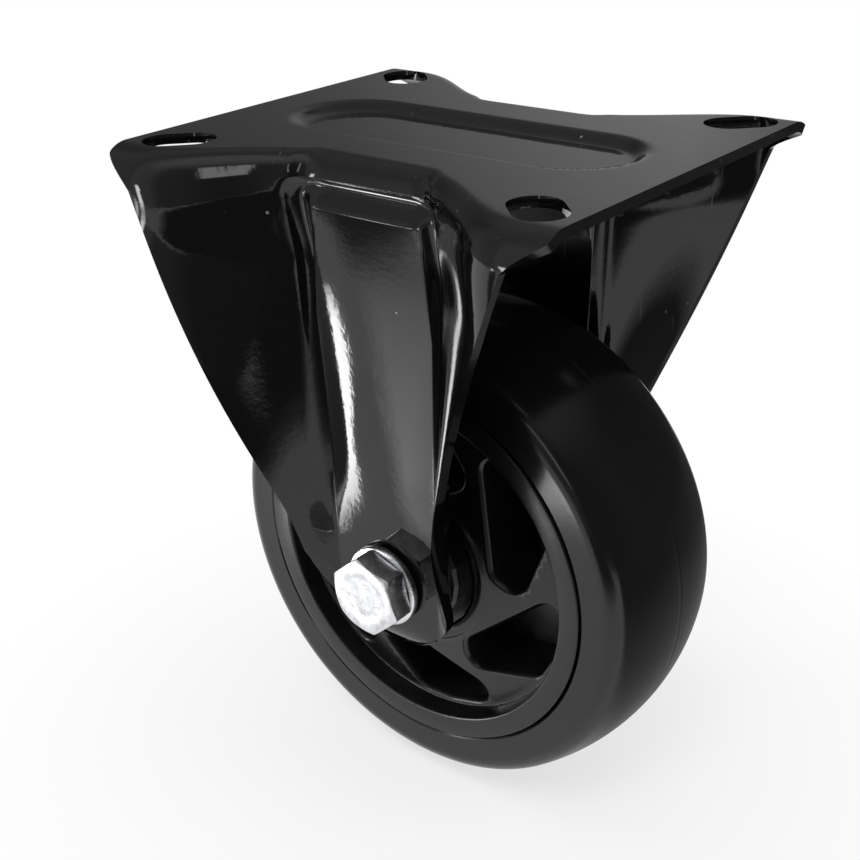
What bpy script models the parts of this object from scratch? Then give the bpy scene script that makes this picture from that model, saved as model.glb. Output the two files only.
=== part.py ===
"""Fixed castor: a pressed steel fork with a slotted top plate, and a wheel on two ball bearings.

Metres, +Z up. X is the rolling direction and Y the axle's. The origin is on the floor, under the
middle of the top plate. "Near" is the -Y side, where the bolt's head is, and "far" the nut's side.
"""

import math

import bmesh
import bpy
from mathutils import Matrix, Vector

# Clearances
FACE_GAP = 0.0003
RUNNING_GAP = 0.00025
BORE_GAP = 0.0003

# Wheel
WHEEL_DIAMETER = 0.1000
TREAD_WIDTH = 0.0346
TYRE_THICKNESS = 0.0113
CROWN_RADIUS = 0.0430
SHOULDER_RADIUS = 0.0038
KEY_WIDTH = 0.0120
KEY_HEIGHT = 0.0014

# Hub
HUB_WIDTH = 0.0351
RIM_WALL = 0.0044
RIM_DRAFT = 0.0007
RIM_CHAMFER = 0.0005
SPOKE_RIM_DEPTH = 0.0043
BOSS_DIAMETER = 0.0336
BOSS_DEPTH = 0.0008
BOSS_STEP = 0.0006
WEB_THICKNESS = 0.0040
POCKETS = 6
POCKET_START = math.radians(4)
POCKET_SPREAD = math.radians(37)
POCKET_RIM_MARGIN = 0.0014
POCKET_TIP_SWEEP = math.radians(63)
POCKET_TIP_PLACE = 0.44
POCKET_TIP_SHARE = 0.365
POCKET_CORNER_SHARE = 0.17
POCKET_MOUTH = 1.20
POCKET_MOUTH_DEPTH = 0.0054
POCKET_DRAFT = 0.94
BORE_LAND = 0.0012

# Fork
AXLE_DROP = 0.0833
SHEET = 0.0026
PLATE_LENGTH = 0.0956
FORK_WIDTH = 0.0888
LEG_CLEARANCE = 0.00565
WEB_LEAN = 0.0020
WAIST_BEND = 0.0045
CORNER_BEND = 0.0070
WAIST_LENGTH = 0.0200
FLARE_LENGTH = 0.0840
LEG_SETBACK = 0.0044
CORNER_DRAW_START = math.radians(33)
CORNER_DRAW_END = math.radians(68)
LEG_TAPER = math.radians(20.8)
LEG_END_RADIUS = 0.0170
LEG_END_BLEND = 0.0012
LEG_END_BELOW_AXLE = 0.0139
LEAN_START = 0.0150
LEAN_RADIUS = 0.1470
LEAN_END_ABOVE_AXLE = 0.0173
SEAT_ABOVE_AXLE = 0.0110
SEAT_BELOW_AXLE = 0.0098
CURL_DEPTH = 0.0022
CREASE_LENGTH = 0.0318
CREASE_TAPER = math.radians(2.6)
CREASE_LEAST_LENGTH = 0.0250
GROOVE_WIDTH = 0.0052
GROOVE_DEPTH = 0.0020
RIB_TOP_DROP = 0.0060
RIB_CORNER = 0.0030
RIB_FLANK = 0.0050
RIB_CROWN = 0.0012

# Top plate
SLOT_END_INSET = 0.0084
SLOT_SIDE_INSET = 0.0123
SLOT_WIDTH = 0.0090
SLOT_LENGTH = 0.0135
SLOT_ANGLE = math.radians(45)
RECESS_LENGTH = 0.0725
RECESS_WIDTH = 0.0226
RECESS_DEPTH = 0.0018
RECESS_SLOPE = 0.0016

# Axle
BOLT_DIAMETER = 0.0095
HEX_ACROSS_FLATS = 0.0143
HEX_CHAMFER = 0.0007
HEAD_HEIGHT = 0.0050
HEAD_TURN = math.radians(12)
WASHER_THICKNESS = 0.0015
WASHER_DIAMETER = 0.0164
NUT_HEIGHT = 0.0078
COLLAR_HEIGHT = 0.0030
COLLAR_WALL = 0.0010
COLLAR_DIAMETER = 0.0134
BOLT_OVERHANG = 0.0020
BOLT_POINT = 0.0008
SLEEVE_WALL = 0.0007
SPACER_WALL = 0.0035
CAP_THICKNESS = 0.0014
CAP_COLLAR_DIAMETER = 0.0240
CAP_COLLAR_HEIGHT = 0.0026
CAP_CHAMFER = 0.0006

# Bearings
BEARING_DIAMETER = 0.0280
BEARING_WIDTH = 0.0080
RING_WALL = 0.0019
BALLS = 7
BALL_DIAMETER = 0.0048
CAGE_WALL = 0.0010
CAGE_BACK = 0.0005
SHIELD_THICKNESS = 0.0004
SHIELD_INSET = 0.0002

# Facets round a full turn
TREAD_SEGMENTS = 48
RING_SEGMENTS = 20
BALL_SEGMENTS = 8
BALL_RINGS = 6

# Worked out from the sizes above
AXLE_HEIGHT = WHEEL_DIAMETER / 2
PLATE_TOP = AXLE_HEIGHT + AXLE_DROP
HUB_HALF = HUB_WIDTH / 2
HUB_RADIUS = WHEEL_DIAMETER / 2 - TYRE_THICKNESS
RIM_INNER = HUB_RADIUS - RIM_WALL
SEAT_INNER = HUB_HALF + LEG_CLEARANCE
SEAT_OUTER = SEAT_INNER + SHEET
WAIST_OUTER = SEAT_OUTER + WEB_LEAN
CORNER_OUTER = FORK_WIDTH / 2
SEAT_TOP = AXLE_DROP - SEAT_ABOVE_AXLE
END_DROP = AXLE_DROP + LEG_END_BELOW_AXLE
END_CENTRE_DROP = END_DROP - LEG_END_RADIUS
BOLT_RADIUS = BOLT_DIAMETER / 2
SLEEVE_INNER = BOLT_RADIUS + BORE_GAP
SLEEVE_OUTER = SLEEVE_INNER + SLEEVE_WALL
RING_BORE = SLEEVE_OUTER + BORE_GAP
BEARING_RADIUS = BEARING_DIAMETER / 2
BOSS_FACE = HUB_HALF - BOSS_DEPTH
CAP_FACE = BOSS_FACE - FACE_GAP
BEARING_FACE = CAP_FACE - CAP_THICKNESS - FACE_GAP
BEARING_MIDDLE = BEARING_FACE - BEARING_WIDTH / 2
INNER_SHOULDER = RING_BORE + RING_WALL
OUTER_SHOULDER = BEARING_RADIUS - RING_WALL
BALL_PITCH = (INNER_SHOULDER + OUTER_SHOULDER) / 2
RACE_RADIUS = BALL_DIAMETER / 2 + RUNNING_GAP
SPACER_OUTER = RING_BORE + SPACER_WALL


def clear_scene():
    for obj in list(bpy.data.objects):
        bpy.data.objects.remove(obj, do_unlink=True)


def make_collection(name, hidden=False):
    collection = bpy.data.collections.new(name)
    bpy.context.scene.collection.children.link(collection)
    collection.hide_render = hidden
    return collection


def make_material(name, colour, roughness, metallic=0.0):
    material = bpy.data.materials.new(name)
    material.use_nodes = True
    shader = material.node_tree.nodes["Principled BSDF"]
    shader.inputs["Base Color"].default_value = (*colour, 1.0)
    shader.inputs["Roughness"].default_value = roughness
    shader.inputs["Metallic"].default_value = metallic
    material.diffuse_color = (*colour, 1.0)
    return material


def make_frame(name, location, parent=None):
    """An empty whose local Z is the axle, pointing to the near side."""
    frame = bpy.data.objects.new(name, None)
    frame.empty_display_size = WHEEL_DIAMETER / 5
    frame.location = location
    if parent is None:
        frame.rotation_euler = (math.radians(90), 0.0, 0.0)
    frame.parent = parent
    PARTS.objects.link(frame)
    return frame


def add_object(name, mesh, collection, parent=None):
    obj = bpy.data.objects.new(name, mesh)
    obj.parent = parent
    collection.objects.link(obj)
    return obj


def add_cutter(name, bm, parent=None):
    """A closed helper shape, for cutting or joining, which isn't a piece of the castor."""
    bmesh.ops.recalc_face_normals(bm, faces=bm.faces)
    mesh = bpy.data.meshes.new(name)
    bm.to_mesh(mesh)
    bm.free()
    cutter = add_object(name, mesh, CUTTERS, parent)
    cutter.hide_render = True
    cutter.display_type = "WIRE"
    return cutter


def add_boolean(obj, operation, other):
    modifier = obj.modifiers.new(f"{operation.title()} {other.name}", "BOOLEAN")
    modifier.operation = operation
    modifier.solver = "EXACT"
    modifier.object = other


def settle(obj, material, sharp=math.radians(32)):
    """Applies the modifiers, and shades smooth between edges sharper than the angle."""
    graph = bpy.context.evaluated_depsgraph_get()
    mesh = bpy.data.meshes.new_from_object(obj.evaluated_get(graph))
    mesh.name = obj.name
    mesh.materials.clear()
    mesh.materials.append(material)
    mesh.shade_smooth()
    mesh.set_sharp_from_angle(angle=sharp)
    obj.modifiers.clear()
    obj.data = mesh
    return obj


def turned(name, profile, parent, collection=None, closed=True, segments=RING_SEGMENTS):
    """A solid turned about local Z, from (radius, height) points that run down its outer side."""
    bm = bmesh.new()
    points = [bm.verts.new((radius, 0.0, height)) for radius, height in profile]
    for first, second in zip(points, points[1:]):
        bm.edges.new((first, second))
    if closed:
        bm.edges.new((points[-1], points[0]))
    mesh = bpy.data.meshes.new(name)
    bm.to_mesh(mesh)
    bm.free()
    obj = add_object(name, mesh, collection or PARTS, parent)
    screw = obj.modifiers.new("Turn", "SCREW")
    screw.steps = segments
    screw.render_steps = segments
    screw.use_merge_vertices = True
    screw.merge_threshold = 0.00001
    return obj


def arc(centre, radius, start, end, steps):
    """Points of an arc, from one angle to another, both ends included."""
    angles = [start + (end - start) * i / steps for i in range(steps + 1)]
    return [(centre[0] + radius * math.cos(a), centre[1] + radius * math.sin(a)) for a in angles]


def both_sides(profile):
    """A profile that runs down to the middle plane, followed by its mirror image below it."""
    return profile + [(radius, -height) for radius, height in reversed(profile)]


def ring(inner, outer, bottom, top):
    return [(outer, top), (outer, bottom), (inner, bottom), (inner, top)]


def rounded_outline(corners, radius, steps):
    """A closed outline with each corner, unless it is a slight one, replaced by an arc."""
    outline = []
    count = len(corners)
    for i, corner in enumerate(corners):
        point = Vector(corner)
        before = (Vector(corners[i - 1]) - point).normalized()
        after = (Vector(corners[(i + 1) % count]) - point).normalized()
        half = before.angle(after) / 2
        if half > math.radians(80):
            outline.append(point)
            continue
        middle = point + (before + after).normalized() * radius / math.sin(half)
        first = point + before * radius / math.tan(half) - middle
        last = point + after * radius / math.tan(half) - middle
        turn = first.angle_signed(last)
        for step in range(steps + 1):
            outline.append(middle + Matrix.Rotation(-turn * step / steps, 2) @ first)
    return outline


def add_loft(bm, rings):
    """Adds a closed solid through rings of points, with a flat face on its first and last ring."""
    rings = [[bm.verts.new(point) for point in ring] for ring in rings]
    bm.faces.new(list(reversed(rings[0])))
    bm.faces.new(rings[-1])
    count = len(rings[0])
    for lower, upper in zip(rings, rings[1:]):
        for i in range(count):
            j = (i + 1) % count
            bm.faces.new((lower[i], lower[j], upper[j], upper[i]))


def scaled(outline, share):
    """The outline, larger or smaller about its middle."""
    centre = sum(outline, Vector((0.0, 0.0))) / len(outline)
    return [centre + (point - centre) * share for point in outline]


def stadium(length, width, steps=6):
    """The outline of a slot with round ends, along X."""
    radius = width / 2
    reach = length / 2 - radius
    right = arc((reach, 0.0), radius, -math.pi / 2, math.pi / 2, steps)
    left = arc((-reach, 0.0), radius, math.pi / 2, 3 * math.pi / 2, steps)
    return right + left


def add_stadium(bm, length, width, bottom, top, spread=0.0, place=None):
    """Adds a closed slot shape whose lower outline is wider by the spread on every side."""
    place = place or Matrix.Identity(4)
    lower = stadium(length + 2 * spread, width + 2 * spread)
    upper = stadium(length, width)
    rings = []
    for outline, height in ((lower, bottom), (upper, top)):
        rings.append([place @ Vector((x, y, height)) for x, y in outline])
    add_loft(bm, rings)


def ease(low, high, value):
    """0 up to low and 1 from high, with a smooth S between them."""
    t = min(max((value - low) / (high - low), 0.0), 1.0)
    return t * t * (3.0 - 2.0 * t)


def mix(first, second, share):
    return first + (second - first) * share


def leg_half_length(drop):
    """Half the leg's length along X at a depth below the plate, above its round end."""
    top = PLATE_LENGTH / 2 - LEG_SETBACK
    taper = top - math.tan(LEG_TAPER) * min(drop, END_CENTRE_DROP)
    middle = (taper + LEG_END_RADIUS) / 2
    half_gap = (taper - LEG_END_RADIUS) / 2
    return middle + math.hypot(half_gap, LEG_END_BLEND)


def edge_outer(drop):
    """How far the leg's cut edge stands out along Y: upright, then an arc inwards, then straight."""
    lean_end = AXLE_DROP - LEAN_END_ABOVE_AXLE
    bent = min(max(drop - LEAN_START, 0.0), lean_end - LEAN_START)
    straight = max(drop - lean_end, 0.0)
    slope = (lean_end - LEAN_START) / LEAN_RADIUS
    return CORNER_OUTER - bent * bent / (2 * LEAN_RADIUS) - straight * slope


def crease_half_length(drop):
    """Where the leg's web meets its flared edge, which is the foot of the raised rib."""
    taper = CREASE_LENGTH / 2 - math.tan(CREASE_TAPER) * drop
    return max(taper, CREASE_LEAST_LENGTH / 2)


def bend_radius(x):
    return mix(WAIST_BEND, CORNER_BEND, ease(WAIST_LENGTH / 2, FLARE_LENGTH / 2, x))


def flank_length(drop):
    """How wide the rib's sloping side is. It narrows towards the seat."""
    return mix(RIB_FLANK, GROOVE_WIDTH / 2, min(drop / SEAT_TOP, 1.0))


def groove_share(x, drop):
    """1 along the groove round the raised rib, 0 on the rib's face and beyond the groove."""
    side = x - crease_half_length(drop) + RIB_CORNER
    top = RIB_TOP_DROP - drop + RIB_CORNER
    off = math.hypot(max(side, 0.0), max(top, 0.0)) - RIB_CORNER + min(max(side, top), 0.0)
    width = GROOVE_WIDTH / 2 if off > 0.0 else flank_length(drop)
    share = min(abs(off) / width, 1.0)
    return (1.0 - share * share) ** 2


def rib_crown(x, drop):
    """How far the rib's face falls away towards its sides. It is flat at the top and at the seat."""
    started = ease(RIB_TOP_DROP, 3 * RIB_TOP_DROP, drop)
    ended = ease(SEAT_TOP - SEAT_ABOVE_AXLE, SEAT_TOP, drop)
    share = min(x / crease_half_length(drop), 1.0)
    return RIB_CROWN * started * (1.0 - ended) * share**4


def flared_outer(x, drop):
    """The Y of the leg's outer face without its groove: a leaning web, and edges that flare out."""
    web = mix(WAIST_OUTER, SEAT_OUTER, min(drop / SEAT_TOP, 1.0)) - rib_crown(x, drop)
    formed = ease(CORNER_BEND, 3 * CORNER_BEND, drop)
    start = mix(WAIST_LENGTH / 2, crease_half_length(drop), formed)
    share = min(max((x - start) / (leg_half_length(drop) - start), 0.0), 1.0)
    soft = ease(0.0, 1.0, share)
    return mix(web, edge_outer(drop), mix(soft, 0.3 * soft + 0.7 * share, formed))


def leg_outer(x, drop):
    """The Y of the leg's outer face, with the groove round the rib and the tip's inward curl."""
    fade = 1.0 - ease(LEAN_START, SEAT_TOP, drop)
    groove = GROOVE_DEPTH * fade * groove_share(x, drop)
    seat_bottom = AXLE_DROP + SEAT_BELOW_AXLE
    curl = CURL_DEPTH * (max(drop - seat_bottom, 0.0) / (END_DROP - seat_bottom)) ** 1.5
    return flared_outer(x, drop) - groove - curl


def skin_depth(x, drop, depth):
    """The distance along Y between two skins that lie the depth apart on the flared edge."""
    step = GROOVE_WIDTH / 4
    slope = (flared_outer(x, drop) - flared_outer(x - step, drop)) / step
    return depth * math.hypot(1.0, slope)


def section_lengths(half_length, drop):
    """The X of one section's points, set where the rib, the groove and the flare need them."""
    crease = min(crease_half_length(drop), 0.66 * half_length)
    groove = min(GROOVE_WIDTH / 2, 0.22 * half_length)
    flank = min(flank_length(drop), crease / 2)
    foot = crease + groove
    inside = [0.0, (crease - flank) / 2, crease - flank, crease - flank / 2, crease, foot]
    return inside + [mix(foot, half_length, share) for share in (0.25, 0.5, 0.75, 1.0)]


def bend_share(level):
    """1 where the leg's bend has just ended, and 0 where the leg has its full form."""
    return 1.0 - ease(WAIST_BEND, 3 * CORNER_BEND, level)


def leg_rows():
    """(depth, half length, bow) of the leg's rows of points. A bow of 1 follows the round end."""
    groove = GROOVE_WIDTH / 2
    levels = [RIB_TOP_DROP + groove * share for share in (0.0, 0.5, 1.0, 2.0)]
    first = levels[-1]
    levels += [mix(first, END_CENTRE_DROP, share / 8) for share in range(1, 9)]
    rows = []
    for level in levels:
        drop = level + bend_share(level) * (CORNER_BEND - WAIST_BEND)
        rows.append((level, leg_half_length(drop), 0.0))
    for bow, angle in ((0.3, 20), (0.6, 34), (0.85, 42), (1.0, 45)):
        height = mix(math.sin(math.radians(angle)), 1.0, bow)
        half = LEG_END_RADIUS * math.cos(math.radians(angle))
        rows.append((END_CENTRE_DROP + LEG_END_RADIUS * height, half, bow))
    return rows


def fork_skin(depth):
    """Rows of points over a quarter of one skin, from the plate's middle line to a leg's tip."""
    half_plate = PLATE_LENGTH / 2
    rows = []
    for share in (0.0, 0.5):
        row = []
        for x in section_lengths(half_plate, 0.0):
            radius = bend_radius(x)
            row.append((x, (leg_outer(x, radius) - radius) * share, PLATE_TOP - depth))
        rows.append(row)
    bend_steps = 6
    for step in range(bend_steps + 1):
        angle = math.radians(90) * step / bend_steps
        drawn = ease(CORNER_DRAW_START, CORNER_DRAW_END, angle)
        half = mix(half_plate, leg_half_length(CORNER_BEND), drawn)
        row = []
        for x in section_lengths(half, 0.0):
            radius = bend_radius(x)
            sunk = radius - skin_depth(x, radius, depth)
            y = leg_outer(x, radius) - radius + sunk * math.sin(angle)
            row.append((x, y, PLATE_TOP - radius + (radius - depth) * math.cos(angle)))
        rows.append(row)
    for level, half, bow in leg_rows():
        row = []
        for x in section_lengths(half, level):
            drop = level + bend_share(level) * (bend_radius(x) - WAIST_BEND)
            if bow > 0.0:
                drop -= bow * (LEG_END_RADIUS - math.sqrt(LEG_END_RADIUS**2 - x**2))
            row.append((x, leg_outer(x, drop) - skin_depth(x, drop, depth), PLATE_TOP - drop))
        rows.append(row)
    return rows


def make_fork():
    """One pressed sheet: the top plate, two bent legs with ribs, and the holes through them."""
    bm = bmesh.new()
    outer, inner = [
        [[bm.verts.new(point) for point in row] for row in fork_skin(depth)]
        for depth in (0.0, SHEET)
    ]
    for skin in (outer, inner):
        for upper, lower in zip(skin, skin[1:]):
            for i in range(len(upper) - 1):
                bm.faces.new((upper[i], upper[i + 1], lower[i + 1], lower[i]))
    for rim in ([(a[-1], b[-1]) for a, b in zip(outer, inner)], list(zip(outer[-1], inner[-1]))):
        for (first, below), (second, beneath) in zip(rim, rim[1:]):
            bm.faces.new((first, second, beneath, below))
    bmesh.ops.recalc_face_normals(bm, faces=bm.faces)
    mesh = bpy.data.meshes.new("fork")
    bm.to_mesh(mesh)
    bm.free()
    fork = add_object("fork", mesh, PARTS)
    mirror = fork.modifiers.new("Mirror", "MIRROR")
    mirror.use_axis = (True, True, False)
    mirror.merge_threshold = 0.00001
    add_boolean(fork, "UNION", recess_back())
    add_boolean(fork, "DIFFERENCE", recess_cutter())
    add_boolean(fork, "DIFFERENCE", slot_cutter())
    add_boolean(fork, "DIFFERENCE", axle_hole_cutter())
    return settle(fork, BLACK_PAINT, math.radians(40))


def recess_cutter():
    """The pressed-in panel in the middle of the plate."""
    bm = bmesh.new()
    rise = RECESS_DEPTH
    length = RECESS_LENGTH + 2 * RECESS_SLOPE * rise / RECESS_DEPTH
    width = RECESS_WIDTH + 2 * RECESS_SLOPE * rise / RECESS_DEPTH
    narrowing = -2 * RECESS_SLOPE
    add_stadium(bm, length, width, PLATE_TOP - RECESS_DEPTH, PLATE_TOP + rise, narrowing)
    return add_cutter("recess_cutter", bm)


def recess_back():
    """The underside of the pressed-in panel, which stands down from the plate."""
    bm = bmesh.new()
    under = PLATE_TOP - SHEET
    length = RECESS_LENGTH + SHEET
    width = RECESS_WIDTH + SHEET
    add_stadium(bm, length, width, under - RECESS_DEPTH, under + SHEET / 3, -RECESS_SLOPE)
    return add_cutter("recess_back", bm)


def slot_cutter():
    """Four slots for the mounting bolts, each pointing towards the plate's middle."""
    bm = bmesh.new()
    for side_x in (-1, 1):
        for side_y in (-1, 1):
            x = side_x * (PLATE_LENGTH / 2 - SLOT_END_INSET)
            y = side_y * (CORNER_OUTER - SLOT_SIDE_INSET)
            turn = Matrix.Rotation(side_x * side_y * SLOT_ANGLE, 4, "Z")
            place = Matrix.Translation((x, y, 0.0)) @ turn
            low = PLATE_TOP - 2 * CORNER_BEND
            add_stadium(bm, SLOT_LENGTH, SLOT_WIDTH, low, PLATE_TOP + SHEET, 0.0, place)
    return add_cutter("slot_cutter", bm)


def axle_hole_cutter():
    bm = bmesh.new()
    radius = BOLT_RADIUS + BORE_GAP
    bmesh.ops.create_cone(
        bm, cap_ends=True, segments=RING_SEGMENTS, radius1=radius, radius2=radius, depth=FORK_WIDTH
    )
    return add_cutter("axle_hole_cutter", bm, AXLE)


def make_tyre():
    """A solid tyre with a crowned tread and round shoulders, keyed on the hub's rim."""
    half = TREAD_WIDTH / 2
    crown_centre = WHEEL_DIAMETER / 2 - CROWN_RADIUS
    shoulder_height = half - SHOULDER_RADIUS
    reach = CROWN_RADIUS - SHOULDER_RADIUS
    shoulder_centre = crown_centre + math.sqrt(reach**2 - shoulder_height**2)
    tangent = math.asin(shoulder_height / reach)
    bore = HUB_RADIUS + BORE_GAP
    key = KEY_WIDTH / 2 + FACE_GAP
    side = [(bore, key), (bore, half)]
    centre = (shoulder_centre, shoulder_height)
    side += arc(centre, SHOULDER_RADIUS, math.radians(90), tangent, 3)
    crown = arc((crown_centre, 0.0), CROWN_RADIUS, tangent, 0.0, 3)[1:-1]
    upper = [(bore + KEY_HEIGHT, key)] + side + crown
    middle = [(WHEEL_DIAMETER / 2, 0.0)]
    profile = upper + middle + [(radius, -height) for radius, height in reversed(upper)]
    tyre = turned("tyre", profile, WHEEL, segments=TREAD_SEGMENTS)
    return settle(tyre, BLACK_RUBBER)


def pocket_outline():
    """One swirled pocket between two spokes: along the rim, then back to a narrow tip."""
    rim = RIM_INNER - RIM_DRAFT - POCKET_RIM_MARGIN
    steps = 3
    polar = []
    for step in range(steps + 1):
        reach = rim / math.cos(POCKET_SPREAD / steps / 2) if 0 < step < steps else rim
        polar.append((reach, POCKET_START - POCKET_SPREAD * step / steps))
    tip = POCKET_START - POCKET_TIP_SWEEP
    room = rim - BOSS_DIAMETER / 2
    tip_radius = BOSS_DIAMETER / 2 + room * POCKET_TIP_PLACE
    tip_width = room * POCKET_TIP_SHARE
    inner = tip_radius - tip_width * math.cos(math.radians(40))
    turn = tip_width * math.sin(math.radians(40)) / tip_radius
    polar += [(tip_radius, tip), (inner, tip + turn)]
    corners = [(radius * math.cos(angle), radius * math.sin(angle)) for radius, angle in polar]
    return rounded_outline(corners, room * POCKET_CORNER_SHARE, 2)


def pocket_cutter():
    """Pockets with sloping mouths and slightly narrower floors, on both faces of the hub."""
    bm = bmesh.new()
    outline = pocket_outline()
    sections = (
        (POCKET_MOUTH, BOSS_FACE),
        (1.0, BOSS_FACE - POCKET_MOUTH_DEPTH),
        (POCKET_DRAFT, WEB_THICKNESS / 2),
    )
    for side in (-1, 1):
        for i in range(POCKETS):
            turn = Matrix.Rotation(2 * math.pi * i / POCKETS, 3, "Z")
            rings = []
            for share, height in sections:
                ring_points = scaled(outline, share)
                rings.append([turn @ Vector((*point, side * height)) for point in ring_points])
            add_loft(bm, rings)
    return add_cutter("pocket_cutter", bm, WHEEL)


def make_hub():
    """A moulded core: rim, dished spokes with pockets on both sides, and a boss for two bearings."""
    boss = BOSS_DIAMETER / 2
    seat = BEARING_RADIUS + BORE_GAP
    stop = seat - BORE_GAP - BORE_LAND
    stop_height = BEARING_FACE - BEARING_WIDTH - FACE_GAP
    key = KEY_WIDTH / 2
    outer = [
        (HUB_RADIUS, HUB_HALF),
        (HUB_RADIUS, key),
        (HUB_RADIUS + KEY_HEIGHT - BORE_GAP, key),
    ]
    inner = [
        (stop, stop_height),
        (seat, stop_height),
        (seat, BOSS_FACE),
        (boss - BOSS_STEP, BOSS_FACE),
        (boss, BOSS_FACE - BOSS_STEP),
        (RIM_INNER - RIM_DRAFT, HUB_HALF - SPOKE_RIM_DEPTH),
        (RIM_INNER, HUB_HALF - RIM_CHAMFER),
        (RIM_INNER + RIM_CHAMFER, HUB_HALF),
    ]
    profile = both_sides(outer) + [(r, -h) for r, h in reversed(inner)] + inner
    hub = turned("wheel_hub", profile, WHEEL, segments=TREAD_SEGMENTS)
    add_boolean(hub, "DIFFERENCE", pocket_cutter())
    return settle(hub, BLACK_PLASTIC)


def hex_body(name, height, chamfers, parent, collection):
    """A hexagonal prism along local Z from 0 to the height, with cone-turned corners."""
    bm = bmesh.new()
    corner = HEX_ACROSS_FLATS / 2 / math.cos(math.radians(30))
    bmesh.ops.create_cone(
        bm, cap_ends=True, segments=6, radius1=corner, radius2=corner, depth=height
    )
    bmesh.ops.translate(bm, verts=bm.verts, vec=(0.0, 0.0, height / 2))
    mesh = bpy.data.meshes.new(name)
    bm.to_mesh(mesh)
    bm.free()
    body = add_object(name, mesh, collection, parent)
    round_radius = HEX_ACROSS_FLATS / 2 * 0.97
    slope = HEX_CHAMFER / (corner - round_radius)
    far_radius = round_radius + height / 2 / slope
    low, high = chamfers
    profile = [(0.0, height), (round_radius if high else far_radius, height)]
    profile += [(far_radius, height / 2)]
    profile += [(round_radius if low else far_radius, 0.0), (0.0, 0.0)]
    shaper = turned(name + "_chamfer", profile, parent, CUTTERS, closed=False, segments=24)
    shaper.hide_render = True
    shaper.display_type = "WIRE"
    add_boolean(body, "INTERSECT", shaper)
    return body


def make_bolt():
    """The axle bolt: hexagonal head on the near side, shank through to the nut."""
    under_head = SEAT_OUTER + FACE_GAP + WASHER_THICKNESS + FACE_GAP
    frame = make_frame("bolt_head_frame", (0.0, 0.0, under_head), AXLE)
    frame.rotation_euler = (0.0, 0.0, HEAD_TURN)
    bolt = hex_body("axle_bolt", HEAD_HEIGHT, (False, True), frame, PARTS)
    nut_face = SEAT_OUTER + 3 * FACE_GAP + WASHER_THICKNESS + NUT_HEIGHT + COLLAR_HEIGHT
    end = -nut_face - BOLT_OVERHANG - under_head
    profile = [
        (0.0, HEAD_HEIGHT / 2),
        (BOLT_RADIUS, HEAD_HEIGHT / 2),
        (BOLT_RADIUS, end + BOLT_POINT),
        (BOLT_RADIUS - BOLT_POINT, end),
        (0.0, end),
    ]
    shank = turned("bolt_shank", profile, frame, CUTTERS, closed=False)
    shank.hide_render = True
    shank.display_type = "WIRE"
    add_boolean(bolt, "UNION", shank)
    return settle(bolt, ZINC)


def make_nut():
    """A lock nut with a collar that holds a nylon ring."""
    seat = SEAT_OUTER + FACE_GAP + WASHER_THICKNESS + FACE_GAP
    frame = make_frame("nut_frame", (0.0, 0.0, -seat), AXLE)
    frame.rotation_euler = (math.radians(180), 0.0, HEAD_TURN)
    nut = hex_body("lock_nut", NUT_HEIGHT, (True, True), frame, PARTS)
    collar_radius = COLLAR_DIAMETER / 2
    top = NUT_HEIGHT + COLLAR_HEIGHT
    groove_radius = collar_radius - COLLAR_WALL
    floor = NUT_HEIGHT - COLLAR_WALL
    collar_profile = [
        (collar_radius - COLLAR_WALL, top),
        (collar_radius, top - COLLAR_WALL),
        (collar_radius, NUT_HEIGHT / 2),
        (BOLT_RADIUS, NUT_HEIGHT / 2),
        (BOLT_RADIUS, top),
    ]
    bore = BOLT_RADIUS + BORE_GAP
    bore_profile = [
        (0.0, top + COLLAR_WALL),
        (groove_radius, top + COLLAR_WALL),
        (groove_radius, floor),
        (bore, floor),
        (bore, -COLLAR_WALL),
        (0.0, -COLLAR_WALL),
    ]
    collar = turned("nut_collar", collar_profile, frame, CUTTERS)
    cutter = turned("nut_bore", bore_profile, frame, CUTTERS, closed=False)
    for helper in (collar, cutter):
        helper.hide_render = True
        helper.display_type = "WIRE"
    add_boolean(nut, "UNION", collar)
    add_boolean(nut, "DIFFERENCE", cutter)
    settle(nut, ZINC)
    insert_profile = ring(bore, groove_radius - BORE_GAP, floor + FACE_GAP, top - COLLAR_WALL)
    settle(turned("nut_insert", insert_profile, frame), BLUE_NYLON)


def make_axle_pieces():
    """The washers outside the legs, and the sleeve and spacers inside them."""
    bore = BOLT_RADIUS + BORE_GAP
    outer = WASHER_DIAMETER / 2
    low = SEAT_OUTER + FACE_GAP
    high = low + WASHER_THICKNESS
    settle(turned("bolt_washer", ring(bore, outer, low, high), AXLE), ZINC)
    settle(turned("nut_washer", ring(bore, outer, -high, -low), AXLE), ZINC)
    end = SEAT_INNER - FACE_GAP
    settle(turned("axle_sleeve", ring(SLEEVE_INNER, SLEEVE_OUTER, -end, end), AXLE), STEEL)
    low = BEARING_FACE + FACE_GAP
    near = ring(RING_BORE, SPACER_OUTER, low, end)
    far = ring(RING_BORE, SPACER_OUTER, -end, -low)
    settle(turned("spacer_near", near, AXLE), STEEL)
    settle(turned("spacer_far", far, AXLE), STEEL)
    reach = BEARING_FACE - BEARING_WIDTH - FACE_GAP
    middle = ring(RING_BORE, INNER_SHOULDER, -reach, reach)
    settle(turned("centre_spacer", middle, AXLE), STEEL)


def race_arc(shoulder, middle):
    """The groove that the balls run in, as (radius, height) points that run round anticlockwise."""
    half = math.acos(abs(BALL_PITCH - shoulder) / RACE_RADIUS)
    return arc((BALL_PITCH, 0.0), RACE_RADIUS, middle - half, middle + half, 3)


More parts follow.
